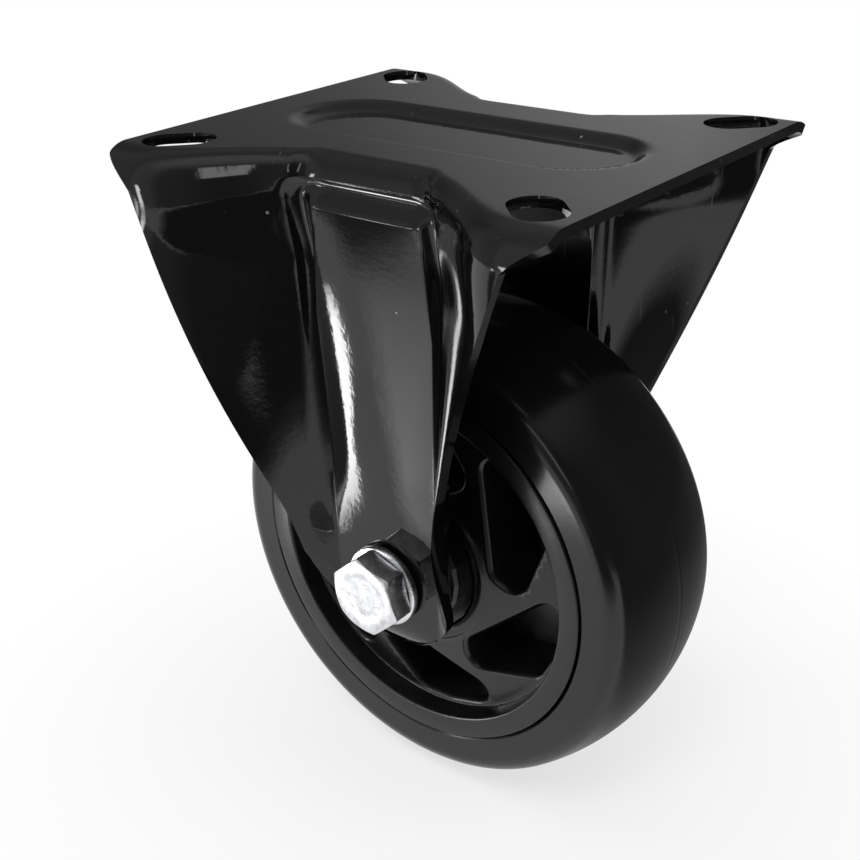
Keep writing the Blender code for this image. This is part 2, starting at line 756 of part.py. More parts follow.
def make_bearing(side, sign, cage_frame):
    """One shielded ball bearing. Its inner ring stands still, and its outer ring turns."""
    half = BEARING_WIDTH / 2
    middle = sign * BEARING_MIDDLE

    def at_middle(profile):
        return [(radius, height + middle) for radius, height in profile]

    inner = [(INNER_SHOULDER, half)] + race_arc(INNER_SHOULDER, math.pi)
    inner += [(INNER_SHOULDER, -half), (RING_BORE, -half), (RING_BORE, half)]
    settle(turned("inner_ring_" + side, at_middle(inner), AXLE), STEEL)
    outer = [(BEARING_RADIUS, half), (BEARING_RADIUS, -half), (OUTER_SHOULDER, -half)]
    outer += race_arc(OUTER_SHOULDER, 0.0) + [(OUTER_SHOULDER, half)]
    settle(turned("outer_ring_" + side, at_middle(outer), WHEEL), STEEL)
    shield_in = INNER_SHOULDER + BORE_GAP
    shield_out = OUTER_SHOULDER - BORE_GAP
    shield_top = half - SHIELD_INSET
    shield = ring(shield_in, shield_out, shield_top - SHIELD_THICKNESS, shield_top)
    settle(turned("outside_shield_" + side, at_middle(flip(shield, sign)), WHEEL), STEEL)
    settle(turned("inside_shield_" + side, at_middle(flip(shield, -sign)), WHEEL), STEEL)
    make_cage(side, cage_frame)
    for i in range(BALLS):
        angle = 2 * math.pi * i / BALLS
        make_ball(f"ball_{side}_{i + 1}", angle, cage_frame)


def flip(profile, sign):
    """The profile itself, or its mirror image with the points still running down the outer side."""
    if sign > 0:
        return profile
    mirrored = [(radius, -height) for radius, height in reversed(profile)]
    return mirrored


def make_ball(name, angle, frame):
    bm = bmesh.new()
    bmesh.ops.create_uvsphere(
        bm, u_segments=BALL_SEGMENTS, v_segments=BALL_RINGS, radius=BALL_DIAMETER / 2
    )
    mesh = bpy.data.meshes.new(name)
    bm.to_mesh(mesh)
    bm.free()
    ball = add_object(name, mesh, PARTS, frame)
    ball.location = (BALL_PITCH * math.cos(angle), BALL_PITCH * math.sin(angle), 0.0)
    settle(ball, STEEL, math.radians(60))


def make_cage(side, frame):
    """A crown cage: a ring beside the balls, with a round pocket for each."""
    back = -BALL_DIAMETER / 2 - BORE_GAP - CAGE_BACK
    front = BALL_DIAMETER / 4
    profile = ring(BALL_PITCH - CAGE_WALL, BALL_PITCH + CAGE_WALL, back, front)
    cage = turned("cage_" + side, profile, frame)
    bm = bmesh.new()
    for i in range(BALLS):
        angle = 2 * math.pi * i / BALLS
        place = (BALL_PITCH * math.cos(angle), BALL_PITCH * math.sin(angle), 0.0)
        bmesh.ops.create_uvsphere(
            bm,
            u_segments=BALL_SEGMENTS,
            v_segments=BALL_RINGS,
            radius=BALL_DIAMETER / 2 + BORE_GAP,
            matrix=Matrix.Translation(place),
        )
    add_boolean(cage, "DIFFERENCE", add_cutter("cage_pockets_" + side, bm, frame))
    settle(cage, BROWN_NYLON)


def make_cap(side, sign):
    """A dust cap over the bearing, pressed in the mouth of the hub's boss, with a raised collar."""
    inner = SPACER_OUTER + BORE_GAP
    collar = CAP_COLLAR_DIAMETER / 2
    top = CAP_FACE + CAP_COLLAR_HEIGHT
    low = CAP_FACE - CAP_THICKNESS
    profile = [
        (collar - CAP_CHAMFER, top),
        (collar, top - CAP_CHAMFER),
        (collar, CAP_FACE),
        (BEARING_RADIUS, CAP_FACE),
        (BEARING_RADIUS, low),
        (inner, low),
        (inner, top),
    ]
    settle(turned("dust_cap_" + side, flip(profile, sign), WHEEL), BLACK_PLASTIC)


clear_scene()
PARTS = make_collection("fixed_castor")
CUTTERS = make_collection("cutters", hidden=True)
BLACK_PAINT = make_material("black_paint", (0.012, 0.012, 0.013), 0.18)
BLACK_RUBBER = make_material("black_rubber", (0.014, 0.014, 0.014), 0.32)
BLACK_PLASTIC = make_material("black_plastic", (0.018, 0.018, 0.019), 0.42)
ZINC = make_material("zinc", (0.78, 0.79, 0.80), 0.28, 1.0)
STEEL = make_material("steel", (0.62, 0.62, 0.63), 0.25, 1.0)
BROWN_NYLON = make_material("brown_nylon", (0.16, 0.09, 0.04), 0.5)
BLUE_NYLON = make_material("blue_nylon", (0.03, 0.10, 0.45), 0.45)
AXLE = make_frame("axle", (0.0, 0.0, AXLE_HEIGHT))
WHEEL = make_frame("wheel_spin", (0.0, 0.0, 0.0), AXLE)
make_fork()
make_tyre()
make_hub()
make_bolt()
make_nut()
make_axle_pieces()
for bearing_side, bearing_sign in (("near", 1), ("far", -1)):
    cage_place = (0.0, 0.0, bearing_sign * BEARING_MIDDLE)
    cage_spin = make_frame(f"cage_{bearing_side}_spin", cage_place, AXLE)
    make_bearing(bearing_side, bearing_sign, cage_spin)
    make_cap(bearing_side, bearing_sign)
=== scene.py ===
import math

import bmesh
import bpy
from mathutils import Matrix, Vector


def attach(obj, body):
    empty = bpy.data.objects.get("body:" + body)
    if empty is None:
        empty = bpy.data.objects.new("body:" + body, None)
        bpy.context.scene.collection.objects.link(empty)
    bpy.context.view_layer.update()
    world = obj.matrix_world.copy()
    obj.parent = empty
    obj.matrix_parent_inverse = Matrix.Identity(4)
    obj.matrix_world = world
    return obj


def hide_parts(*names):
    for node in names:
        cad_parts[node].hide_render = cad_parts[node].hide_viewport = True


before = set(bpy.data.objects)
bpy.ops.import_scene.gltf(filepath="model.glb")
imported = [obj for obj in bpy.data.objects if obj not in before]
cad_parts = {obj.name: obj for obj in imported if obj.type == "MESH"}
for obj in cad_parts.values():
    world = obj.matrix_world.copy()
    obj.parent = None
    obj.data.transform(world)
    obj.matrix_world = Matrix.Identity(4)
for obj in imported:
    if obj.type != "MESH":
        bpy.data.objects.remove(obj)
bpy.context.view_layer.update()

# The photograph's camera
scene = bpy.context.scene
scene.view_settings.view_transform = "Standard"
camera_data = bpy.data.cameras.new("camera")
camera_data.sensor_width = 36.0
camera_data.lens = 57.29
camera = bpy.data.objects.new("camera", camera_data)
camera.location = (0.1515, -0.1947, 0.1918)
camera.rotation_euler = [math.radians(a) for a in (64.275, 1.620, 38.746)]
scene.collection.objects.link(camera)
scene.camera = camera

# Values that the solids have too, in metres. A drop is measured down from the plate's top.
AXLE_HEIGHT = 0.05
AXLE_DROP = 0.0833
PLATE_TOP = AXLE_HEIGHT + AXLE_DROP
SHEET = 0.0026
PLATE_LENGTH = 0.0956
SEAT_OUTER = 0.0258
WAIST_OUTER = 0.0278
CORNER_OUTER = 0.0444
WAIST_BEND = 0.0045
CORNER_BEND = 0.0070
WAIST_LENGTH = 0.0200
FLARE_LENGTH = 0.0840
WING_SOFTNESS = 0.3
LEG_TOP_LENGTH = 0.0868
LEG_TAPER = math.radians(20.8)
LEG_END_RADIUS = 0.0170
LEG_END_BLEND = 0.0012
LEG_END_BELOW_AXLE = 0.0139
LEAN_START = 0.0150
LEAN_RADIUS = 0.1470
LEAN_END_ABOVE_AXLE = 0.0173
SEAT_ABOVE_AXLE = 0.0110
SEAT_BELOW_AXLE = 0.0098
CURL_DEPTH = 0.0022
CURL_POWER = 1.5
CREASE_LENGTH = 0.0318
CREASE_TAPER = math.radians(2.6)
CREASE_LEAST_LENGTH = 0.0250
GROOVE_WIDTH = 0.0052
GROOVE_DEPTH = 0.0020
RIB_TOP_DROP = 0.0060
RIB_CORNER = 0.0030
RIB_FLANK = 0.0050
SLOT_PLACE = (0.0394, 0.0321)
SLOT_LENGTH = 0.0135
SLOT_WIDTH = 0.0090
RECESS_LENGTH = 0.0725
RECESS_WIDTH = 0.0226
RECESS_DEPTH = 0.0018
FACE_GAP = 0.0003
TYRE_RADIUS = 0.05
HUB_HALF = 0.01755
HUB_RADIUS = 0.0387
BOLT_RADIUS = 0.00475
HOLE_RADIUS = 0.00505

END_DROP = AXLE_DROP + LEG_END_BELOW_AXLE
END_CENTRE_DROP = END_DROP - LEG_END_RADIUS
LEAN_END = AXLE_DROP - LEAN_END_ABOVE_AXLE
SEAT_TOP = AXLE_DROP - SEAT_ABOVE_AXLE
SEAT_BOTTOM = AXLE_DROP + SEAT_BELOW_AXLE

# Values of the fork that only this finer shape has, or has in its own measure
RIB_FLANK_END = 0.0010
RIB_FLANK_DROP = 0.0300
RIB_CROWN = 0.00045
RIB_CROWN_POWER = 2.5
RECESS_SLOPE = 0.0032
EDGE_ROUND = 0.00035
EAR_START = 0.0046
EAR_END = 0.0112
EAR_SOFTNESS = 0.35


# Helpers

def add_object(name, mesh):
    obj = bpy.data.objects.new(name, mesh)
    scene.collection.objects.link(obj)
    return obj


def mesh_from(name, bm):
    bmesh.ops.recalc_face_normals(bm, faces=bm.faces)
    mesh = bpy.data.meshes.new(name)
    bm.to_mesh(mesh)
    bm.free()
    return mesh


def apply_modifiers(obj):
    graph = bpy.context.evaluated_depsgraph_get()
    mesh = bpy.data.meshes.new_from_object(obj.evaluated_get(graph))
    obj.modifiers.clear()
    obj.data = mesh


def finish_piece(obj, material, body, nodes, sharp):
    """Applies the modifiers, dresses the piece, hangs it on its body and hides the solids it stands
    for.
    """
    apply_modifiers(obj)
    obj.data.materials.clear()
    obj.data.materials.append(material)
    obj.data.shade_smooth()
    obj.data.set_sharp_from_angle(angle=math.radians(sharp))
    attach(obj, body)
    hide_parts(*nodes)


def on_axle(obj, height=0.0, turn=0.0, flip=False):
    """Stands the object's local Z on the axle, pointing to the bolt's head, or away from it."""
    tilt = -90 if flip else 90
    obj.matrix_world = (
        Matrix.Translation((0.0, -height, AXLE_HEIGHT))
        @ Matrix.Rotation(math.radians(tilt), 4, "X")
        @ Matrix.Rotation(turn, 4, "Z")
    )
    return obj


def turned(name, profile, segments):
    """A closed solid about local Z from (radius, height) points, or a function of the angle."""
    bm = bmesh.new()
    columns = []
    for i in range(segments):
        a = 2 * math.pi * i / segments
        points = profile(a) if callable(profile) else profile
        columns.append([bm.verts.new((r * math.cos(a), r * math.sin(a), h)) for r, h in points])
    count = len(columns[0])
    for first, second in zip(columns, columns[1:] + columns[:1]):
        for i in range(count):
            j = (i + 1) % count
            bm.faces.new((first[i], second[i], second[j], first[j]))
    bmesh.ops.remove_doubles(bm, verts=bm.verts, dist=1e-7)
    return add_object(name, mesh_from(name, bm))


def arc(centre, radius, start, end, steps):
    """Points along an arc, with its angles in degrees."""
    angles = [math.radians(start + (end - start) * i / steps) for i in range(steps + 1)]
    return [(centre[0] + radius * math.cos(a), centre[1] + radius * math.sin(a)) for a in angles]


def mirrored(upper):
    """A profile's upper half again below the wheel's middle, in the opposite order."""
    return [(r, -h) for r, h in reversed(upper)]


def cut(obj, cutter):
    """Cuts the object at once, and removes the cutter."""
    modifier = obj.modifiers.new("Boolean", "BOOLEAN")
    modifier.operation = "DIFFERENCE"
    modifier.solver = "EXACT"
    modifier.object = cutter
    apply_modifiers(obj)
    bpy.data.objects.remove(cutter, do_unlink=True)


def lofted(bm, rings):
    """Adds a closed solid through rings of points, with flat ends."""
    rings = [[bm.verts.new(point) for point in ring] for ring in rings]
    count = len(rings[0])
    bm.faces.new(list(reversed(rings[0])))
    bm.faces.new(rings[-1])
    for first, second in zip(rings, rings[1:]):
        for i in range(count):
            j = (i + 1) % count
            bm.faces.new((first[i], first[j], second[j], second[i]))


def mix(first, second, share):
    return first + (second - first) * share


def ease(low, high, value):
    """0 below low, 1 above high, and a smooth run between them."""
    t = min(max((value - low) / (high - low), 0.0), 1.0)
    return t * t * (3.0 - 2.0 * t)


# Materials

class Nodes:
    """Writes a procedural material in a few lines."""

    def __init__(self, name):
        self.material = bpy.data.materials.new(name)
        self.material.use_nodes = True
        self.tree = self.material.node_tree
        self.shader = self.tree.nodes["Principled BSDF"]
        self.where = self.tree.nodes.new("ShaderNodeTexCoord").outputs["Object"]

    def put(self, socket, value):
        """Links the socket to another, or sets its value."""
        if isinstance(value, bpy.types.NodeSocket):
            self.tree.links.new(value, socket)
        else:
            socket.default_value = value

    def add(self, kind, settings=None, **inputs):
        node = self.tree.nodes.new(kind)
        for key, value in (settings or {}).items():
            setattr(node, key, value)
        for key, value in inputs.items():
            self.put(node.inputs[key.replace("_", " ")], value)
        return node

    def set(self, **inputs):
        """Sets the shader's own sockets."""
        for key, value in inputs.items():
            self.put(self.shader.inputs[key.replace("_", " ")], value)

    def noise(self, scale, detail, stretch=(1, 1, 1)):
        place = self.add("ShaderNodeMapping", Vector=self.where, Scale=stretch)
        where = place.outputs["Vector"]
        node = self.add("ShaderNodeTexNoise", Vector=where, Scale=scale, Detail=detail)
        return node.outputs["Fac"]

    def ramp(self, value, low, high, first=0.0, last=1.0):
        """Runs from first to last while the value runs from low to high."""
        ends = {"From_Min": low, "From_Max": high, "To_Min": first, "To_Max": last}
        return self.add("ShaderNodeMapRange", Value=value, **ends).outputs["Result"]

    def math(self, operation, first, second):
        node = self.add("ShaderNodeMath", {"operation": operation})
        self.put(node.inputs[0], first)
        self.put(node.inputs[1], second)
        return node.outputs[0]

    def mix(self, share, first, second):
        """Mixes two colours. Their sockets have the names of others, so they go by number."""
        node = self.add("ShaderNodeMix", {"data_type": "RGBA"})
        self.put(node.inputs[0], share)
        self.put(node.inputs[6], (*first, 1.0))
        self.put(node.inputs[7], (*second, 1.0))
        return node.outputs[2]

    def bump(self, height, strength, distance):
        """Adds a bump on top of those that the shader has."""
        chain = self.shader.inputs["Normal"].links
        node = self.add("ShaderNodeBump", Height=height, Strength=strength, Distance=distance)
        if chain:
            self.put(node.inputs["Normal"], chain[0].from_socket)
        self.set(Normal=node.outputs["Normal"])

    def specks(self, scale, size):
        """1 in small round specks, in the few cells that have a bright random colour."""
        cells = self.add("ShaderNodeTexVoronoi", Vector=self.where, Scale=scale, Randomness=1.0)
        near = self.ramp(cells.outputs["Distance"], size, size * 0.6)
        pick = self.ramp(cells.outputs["Color"], 0.86, 0.88)
        return self.math("MULTIPLY", near, pick)

    def hairlines(self, scale, stretch, threshold, width):
        lines = self.noise(scale, 2.0, stretch)
        return self.ramp(lines, threshold, threshold + width)

    def show(self, share, first, second):
        """Puts out the first shader where the share is 0, and the second where it is 1."""
        node = self.add("ShaderNodeMixShader", Fac=share)
        self.put(node.inputs[1], first)
        self.put(node.inputs[2], second)
        self.put(self.tree.nodes["Material Output"].inputs["Surface"], node.outputs["Shader"])


def black_paint():
    m = Nodes("gloss_black_paint")
    scratches = m.hairlines(900, (1, 1, 0.03), 0.70, 0.04)
    cross = m.hairlines(700, (0.02, 1, 1), 0.72, 0.04)
    patch = m.ramp(m.noise(40, 2), 0.45, 0.65)
    marks = m.math("MULTIPLY", m.math("MAXIMUM", scratches, cross), patch)
    specks = m.specks(260, 0.10)
    pale = m.math("MAXIMUM", m.math("MULTIPLY", marks, 0.12), m.math("MULTIPLY", specks, 0.5))
    dull = m.ramp(m.noise(30, 4), 0.35, 0.75, 0.03, 0.10)
    m.set(
        Base_Color=m.mix(pale, (0.003, 0.003, 0.0033), (0.35, 0.35, 0.35)),
        Roughness=m.math("ADD", dull, m.math("MULTIPLY", marks, 0.2)),
    )
    m.bump(m.noise(900, 2), 0.05, 0.0002)
    m.bump(m.noise(70, 2), 0.10, 0.0005)
    m.bump(specks, 0.5, 0.0001)
    return m.material


def tyre_black():
    m = Nodes("black_polyurethane")
    smear = m.noise(22, 4)
    dust = m.math("MULTIPLY", m.specks(300, 0.07), 0.5)
    m.set(
        Base_Color=m.mix(dust, (0.004, 0.004, 0.0045), (0.2, 0.2, 0.2)),
        Roughness=m.ramp(smear, 0.3, 0.7, 0.12, 0.22),
    )
    m.bump(m.noise(1300, 2), 0.06, 0.0001)
    m.bump(m.noise(45, 2), 0.06, 0.0004)
    return m.material


def hub_black():
    m = Nodes("moulded_black_plastic")
    cloud = m.ramp(m.noise(120, 4), 0.4, 0.7)
    m.set(
        Base_Color=m.mix(cloud, (0.004, 0.004, 0.0045), (0.008, 0.008, 0.009)),
        Roughness=m.ramp(m.noise(90, 3), 0.3, 0.7, 0.22, 0.34),
    )
    m.bump(m.noise(2200, 2), 0.15, 0.0001)
    m.bump(m.noise(160, 3), 0.12, 0.0002)
    return m.material


def zinc():
    m = Nodes("bright_zinc")
    stain = m.ramp(m.noise(420, 5), 0.42, 0.72)
    m.set(
        Base_Color=m.mix(stain, (0.80, 0.81, 0.83), (0.52, 0.52, 0.53)),
        Metallic=1.0,
        Roughness=m.ramp(m.noise(600, 4), 0.3, 0.7, 0.20, 0.40),
    )
    m.bump(m.noise(900, 4), 0.25, 0.0002)
    m.bump(m.hairlines(1400, (0.08, 1, 1), 0.62, 0.06), 0.2, 0.0001)
    return m.material


def steel():
    m = Nodes("ground_steel")
    cloud = m.ramp(m.noise(300, 4), 0.4, 0.7)
    m.set(
        Base_Color=m.mix(cloud, (0.60, 0.60, 0.61), (0.45, 0.45, 0.46)),
        Metallic=1.0,
        Roughness=m.ramp(m.noise(500, 3), 0.3, 0.7, 0.22, 0.36),
    )
    m.bump(m.noise(2500, 2, (1, 0.05, 1)), 0.2, 0.0001)
    return m.material


def nylon(name, colour):
    m = Nodes(name)
    dark = tuple(0.8 * c for c in colour)
    m.set(
        Base_Color=m.mix(m.ramp(m.noise(260, 3), 0.35, 0.65), colour, dark),
        Roughness=m.ramp(m.noise(700, 2), 0.3, 0.7, 0.42, 0.55),
    )
    m.bump(m.noise(1800, 2), 0.15, 0.0001)
    return m.material


PAINT = black_paint()
TYRE = tyre_black()
HUB = hub_black()
ZINC = zinc()
STEEL = steel()
CAGE = nylon("cage_nylon", (0.16, 0.09, 0.04))
INSERT = nylon("insert_nylon", (0.03, 0.10, 0.45))


# The fork, from its solid's formulas but finer, with rounded cut edges. The rib, the recess's slope
# and the ears are shaped a little differently. x is the distance from the fork's middle.

QUARTER = math.radians(90)
ROUNDING = [math.radians(22.5 * i) for i in range(5)]
HALF_PLATE = PLATE_LENGTH / 2

# The mesh's rows across the plate, round the bend, down the leg and round its foot
PANEL_ROWS = 26
PANEL_MARGIN = 0.0006
PLATE_ROWS = 44
BEND_ROWS = 18
LEG_TOP_ROWS = 16
LEG_TOP_LEVEL = WAIST_BEND + 0.0004
LEG_TOP_ZONE = 0.0085
LEG_ROWS = 44
FOOT_BOWS = (0.12, 0.25, 0.4, 0.55, 0.7, 0.82, 0.92, 1.0)
FOOT_ANGLE = 45

# Its columns. In a narrow row the rib and the groove take at most these shares of its half.
CREASE_MOST_SHARE = 0.66
GROOVE_MOST_SHARE = 0.22
FLANK_MARGIN = 1.3
FACE_COLUMNS = 7
TURN_COLUMNS = 3
FLANK_COLUMNS = 9
GROOVE_COLUMNS = 7
FLARE_COLUMNS = 26


def leg_half_length(drop):
    taper = LEG_TOP_LENGTH / 2 - math.tan(LEG_TAPER) * min(drop, END_CENTRE_DROP)
    middle = (taper + LEG_END_RADIUS) / 2
    return middle + math.hypot((taper - LEG_END_RADIUS) / 2, LEG_END_BLEND)


def edge_outer(drop):
    """The Y of the leg's cut edge: upright, then an arc inwards, then straight."""
    bent = min(max(drop - LEAN_START, 0.0), LEAN_END - LEAN_START)
    straight = max(drop - LEAN_END, 0.0)
    slope = (LEAN_END - LEAN_START) / LEAN_RADIUS
    return CORNER_OUTER - bent * bent / (2 * LEAN_RADIUS) - straight * slope


def crease_half_length(drop):
    return max(CREASE_LENGTH / 2 - math.tan(CREASE_TAPER) * drop, CREASE_LEAST_LENGTH / 2)


def bend_radius(x):
    return mix(WAIST_BEND, CORNER_BEND, ease(WAIST_LENGTH / 2, FLARE_LENGTH / 2, x))


def flank_length(drop):
    """How wide the rib's sloping side is. It narrows below the rib's top."""
    return mix(RIB_FLANK, RIB_FLANK_END, min(drop / RIB_FLANK_DROP, 1.0))


def groove_share(x, drop):
    """1 along the groove round the raised rib, 0 on the rib's face and beyond the groove."""
    side = x - crease_half_length(drop) + RIB_CORNER
    top = RIB_TOP_DROP - drop + RIB_CORNER
    off = math.hypot(max(side, 0.0), max(top, 0.0)) - RIB_CORNER + min(max(side, top), 0.0)
    width = GROOVE_WIDTH / 2 if off > 0.0 else flank_length(drop)
    share = min(abs(off) / width, 1.0)
    return (1.0 - share * share) ** 2


def rib_crown(x, drop):
    """How far the rib's face falls away at its sides. It is flat at the top and at the seat."""
    started = ease(RIB_TOP_DROP, 3 * RIB_TOP_DROP, drop)
    ended = ease(SEAT_TOP - SEAT_ABOVE_AXLE, SEAT_TOP, drop)
    share = min(abs(x) / crease_half_length(drop), 1.0)
    return RIB_CROWN * started * (1.0 - ended) * share**RIB_CROWN_POWER


def flared_outer(x, drop):
    """The Y of the leg's outer face without its groove: a leaning web, and edges that flare out."""
    web = mix(WAIST_OUTER, SEAT_OUTER, min(drop / SEAT_TOP, 1.0)) - rib_crown(x, drop)
    formed = ease(CORNER_BEND, 3 * CORNER_BEND, drop)
    start = mix(WAIST_LENGTH / 2, crease_half_length(drop), formed)
    share = min(max((x - start) / (leg_half_length(drop) - start), 0.0), 1.0)
    soft = ease(0.0, 1.0, share)
    wing = WING_SOFTNESS * soft + (1.0 - WING_SOFTNESS) * share
    return mix(web, edge_outer(drop), mix(soft, wing, formed))


def leg_outer(x, drop):
    """The Y of the leg's outer face, with the groove round the rib and the tip's inward curl."""
    fade = 1.0 - ease(LEAN_START, SEAT_TOP, drop)
    curled = max(drop - SEAT_BOTTOM, 0.0) / (END_DROP - SEAT_BOTTOM)
    curl = CURL_DEPTH * curled**CURL_POWER
    return flared_outer(x, drop) - GROOVE_DEPTH * fade * groove_share(x, drop) - curl


def skin_depth(x, drop, depth):
    """A depth square to the sheet, as measured along Y."""
    step = GROOVE_WIDTH / 4
    slope = (flared_outer(x, drop) - flared_outer(x - step, drop)) / step
    return depth * math.hypot(1.0, slope)


def leg_point(x, drop, depth):
    return x, leg_outer(x, drop) - skin_depth(x, drop, depth), PLATE_TOP - drop


def recess_drop(x, y):
    """How far the pressed panel in the plate lies below its top."""
    side = max(abs(x) - (RECESS_LENGTH - RECESS_WIDTH) / 2, 0.0)
    off = math.hypot(side, y) - RECESS_WIDTH / 2
    return RECESS_DEPTH * (1.0 - ease(-RECESS_SLOPE / 2, RECESS_SLOPE / 2, off))


def section_lengths(reach, half, drop):
    """The x of a section's points, densest where the groove is."""
    crease = min(crease_half_length(drop), CREASE_MOST_SHARE * half)
    groove = min(GROOVE_WIDTH / 2, GROOVE_MOST_SHARE * half)
    flank = min(flank_length(drop), crease / 2)
    lengths = [0.0]
    for place, count in (
        (crease - FLANK_MARGIN * flank, FACE_COLUMNS),
        (crease - flank, TURN_COLUMNS),
        (crease, FLANK_COLUMNS),
        (crease + groove, GROOVE_COLUMNS),
    ):
        start = lengths[-1]
        lengths += [mix(start, place, (i + 1) / count) for i in range(count)]
    start = lengths[-1]
    flare = [mix(start, reach, (i + 1) / FLARE_COLUMNS) for i in range(FLARE_COLUMNS - 1)]
    return lengths + flare


def cross_path(half, inset, level):
    """(x, depth) round the sheet from its outer skin's middle to the inner skin's middle."""
    r = EDGE_ROUND
    low = r * (1.0 - math.cos(inset))
    reach = half - r * (1.0 - math.sin(inset))
    outer = [(x, low) for x in section_lengths(reach - r, half, level)]
    rim = [(reach - r + r * math.sin(a), low + (r - low) * (1.0 - math.cos(a))) for a in ROUNDING]
    below = [(x, SHEET - depth) for x, depth in reversed(outer + rim)]
    return outer + rim + below


def ear_share(along):
    """How far the plate's corner has run in to the leg's edge, by the length along the bend."""
    share = min(max((along - EAR_START) / (EAR_END - EAR_START), 0.0), 1.0)
    return mix(share, ease(0.0, 1.0, share), EAR_SOFTNESS)


def plate_rows():
    """Rows across the plate, from its middle line to the bend."""
    panel = (RECESS_WIDTH + RECESS_SLOPE) / 2 + PANEL_MARGIN
    rows = []
    for step in range(PLATE_ROWS):
        flat = panel * min(step / PANEL_ROWS, 1.0)
        share = max(step - PANEL_ROWS, 0) / (PLATE_ROWS - PANEL_ROWS)
        row = []
        for x, depth in cross_path(HALF_PLATE, QUARTER, 0.0):
            radius = bend_radius(x)
            y = mix(flat, leg_outer(x, radius) - radius, share)
            row.append((x, y, PLATE_TOP - depth - recess_drop(x, y)))
        rows.append(row)
    return rows


def bend_rows():
    """Rows round the bend between the plate and the leg, which is wider at the corners."""
    rows = []
    for step in range(BEND_ROWS + 1):
        angle = QUARTER * step / BEND_ROWS
        ear = ear_share(CORNER_BEND * angle)
        half = mix(HALF_PLATE, leg_half_length(CORNER_BEND), ear)
        row = []
        for x, depth in cross_path(half, QUARTER, 0.0):
            radius = bend_radius(x)
            sunk = radius - skin_depth(x, radius, depth)
            y = leg_outer(x, radius) - radius + sunk * math.sin(angle)
            row.append((x, y, PLATE_TOP - radius + (radius - depth) * math.cos(angle)))
        rows.append(row)
    return rows


def leg_rows():
    """Rows down the leg, which start along the bend's lower edge and become level."""
    start = LEG_TOP_LEVEL + LEG_TOP_ZONE
    levels = [LEG_TOP_LEVEL + LEG_TOP_ZONE * i / LEG_TOP_ROWS for i in range(LEG_TOP_ROWS)]
    levels += [mix(start, END_CENTRE_DROP, i / LEG_ROWS) for i in range(LEG_ROWS + 1)]
    rows = []
    for level in levels:
        bent = 1.0 - ease(WAIST_BEND, 3 * CORNER_BEND, level)
        low = level + bent * (CORNER_BEND - WAIST_BEND)
        ear = ear_share(CORNER_BEND * (QUARTER - 1.0) + low)
        half = mix(HALF_PLATE, leg_half_length(low), ear)
        row = []
        for x, depth in cross_path(half, QUARTER, level):
            drop = level + bent * (bend_radius(x) - WAIST_BEND)
            row.append(leg_point(x, drop, depth))
        rows.append(row)
    return rows


def foot_rows():
    """Rows that bow more and more down to the leg's round end, and then round its cut edge."""
    ends = [(bow, FOOT_ANGLE * bow, QUARTER) for bow in FOOT_BOWS]
    ends += [(1.0, FOOT_ANGLE, QUARTER - a) for a in ROUNDING[1:]]
    rows = []
    for bow, degrees, inset in ends:
        radius = LEG_END_RADIUS - EDGE_ROUND * (1.0 - math.sin(inset))
        angle = math.radians(degrees)
        height = mix(math.sin(angle), 1.0, bow)
        half = LEG_END_RADIUS * math.cos(angle)
        row = []
        for x, depth in cross_path(half, inset, END_CENTRE_DROP):
            drop = END_CENTRE_DROP + radius * height - bow * (radius - math.sqrt(radius**2 - x**2))
            drop = min(drop, END_CENTRE_DROP + math.sqrt(max(radius**2 - x**2, 0.0)))
            row.append(leg_point(x, drop, depth))
        rows.append(row)
    return rows


def stadium(length, width):
    radius = width / 2
    reach = length / 2 - radius
    return arc((reach, 0.0), radius, -90, 90, 12) + arc((-reach, 0.0), radius, 90, 270, 12)


def slot_cutters():
    """Cutters for the four slots, which spread at the plate's top to round the slots' edges."""
    under = PLATE_TOP - SHEET
    levels = (
        (0.0, under - 0.008),
        (0.0, under + 0.0002),
        (0.0, PLATE_TOP - 0.0004),
        (0.00012, PLATE_TOP - 0.00015),
        (0.0005, PLATE_TOP + 0.0001),
        (0.0005, PLATE_TOP + 0.002),
    )
    bm = bmesh.new()
    for side_x in (-1, 1):
        for side_y in (-1, 1):
            turn = Matrix.Rotation(side_x * side_y * math.radians(45), 4, "Z")
            place = (side_x * SLOT_PLACE[0], side_y * SLOT_PLACE[1], 0.0)
            move = Matrix.Translation(place) @ turn
            rings = []
            for spread, height in levels:
                outline = stadium(SLOT_LENGTH + 2 * spread, SLOT_WIDTH + 2 * spread)
                rings.append([move @ Vector((x, y, height)) for x, y in outline])
            lofted(bm, rings)
    return add_object("slots", mesh_from("slots", bm))


def make_fork():
    """A quarter of the fork from its rows, mirrored twice, with its slots and axle holes cut."""
    bm = bmesh.new()
    points = plate_rows() + bend_rows() + leg_rows() + foot_rows()
    rows = [[bm.verts.new(point) for point in row] for row in points]
    for upper, lower in zip(rows, rows[1:]):
        for i in range(len(upper) - 1):
            bm.faces.new((upper[i], upper[i + 1], lower[i + 1], lower[i]))
    last = rows[-1]
    for i in range(len(last) // 2 - 1):
        bm.faces.new((last[i], last[i + 1], last[-i - 2], last[-i - 1]))
    fork = add_object("pressed_fork", mesh_from("pressed_fork", bm))
    mirror = fork.modifiers.new("Mirror", "MIRROR")
    mirror.use_axis = (True, True, False)
    mirror.merge_threshold = 0.00001
    cut(fork, slot_cutters())
    reach, core = 0.06, 0.0001
    hole = [(HOLE_RADIUS, -reach), (HOLE_RADIUS, reach), (core, reach), (core, -reach)]
    cut(fork, on_axle(turned("hole", hole, 48)))
    finish_piece(fork, PAINT, "fork_and_axle", ["fork"], 38)


# The tyre

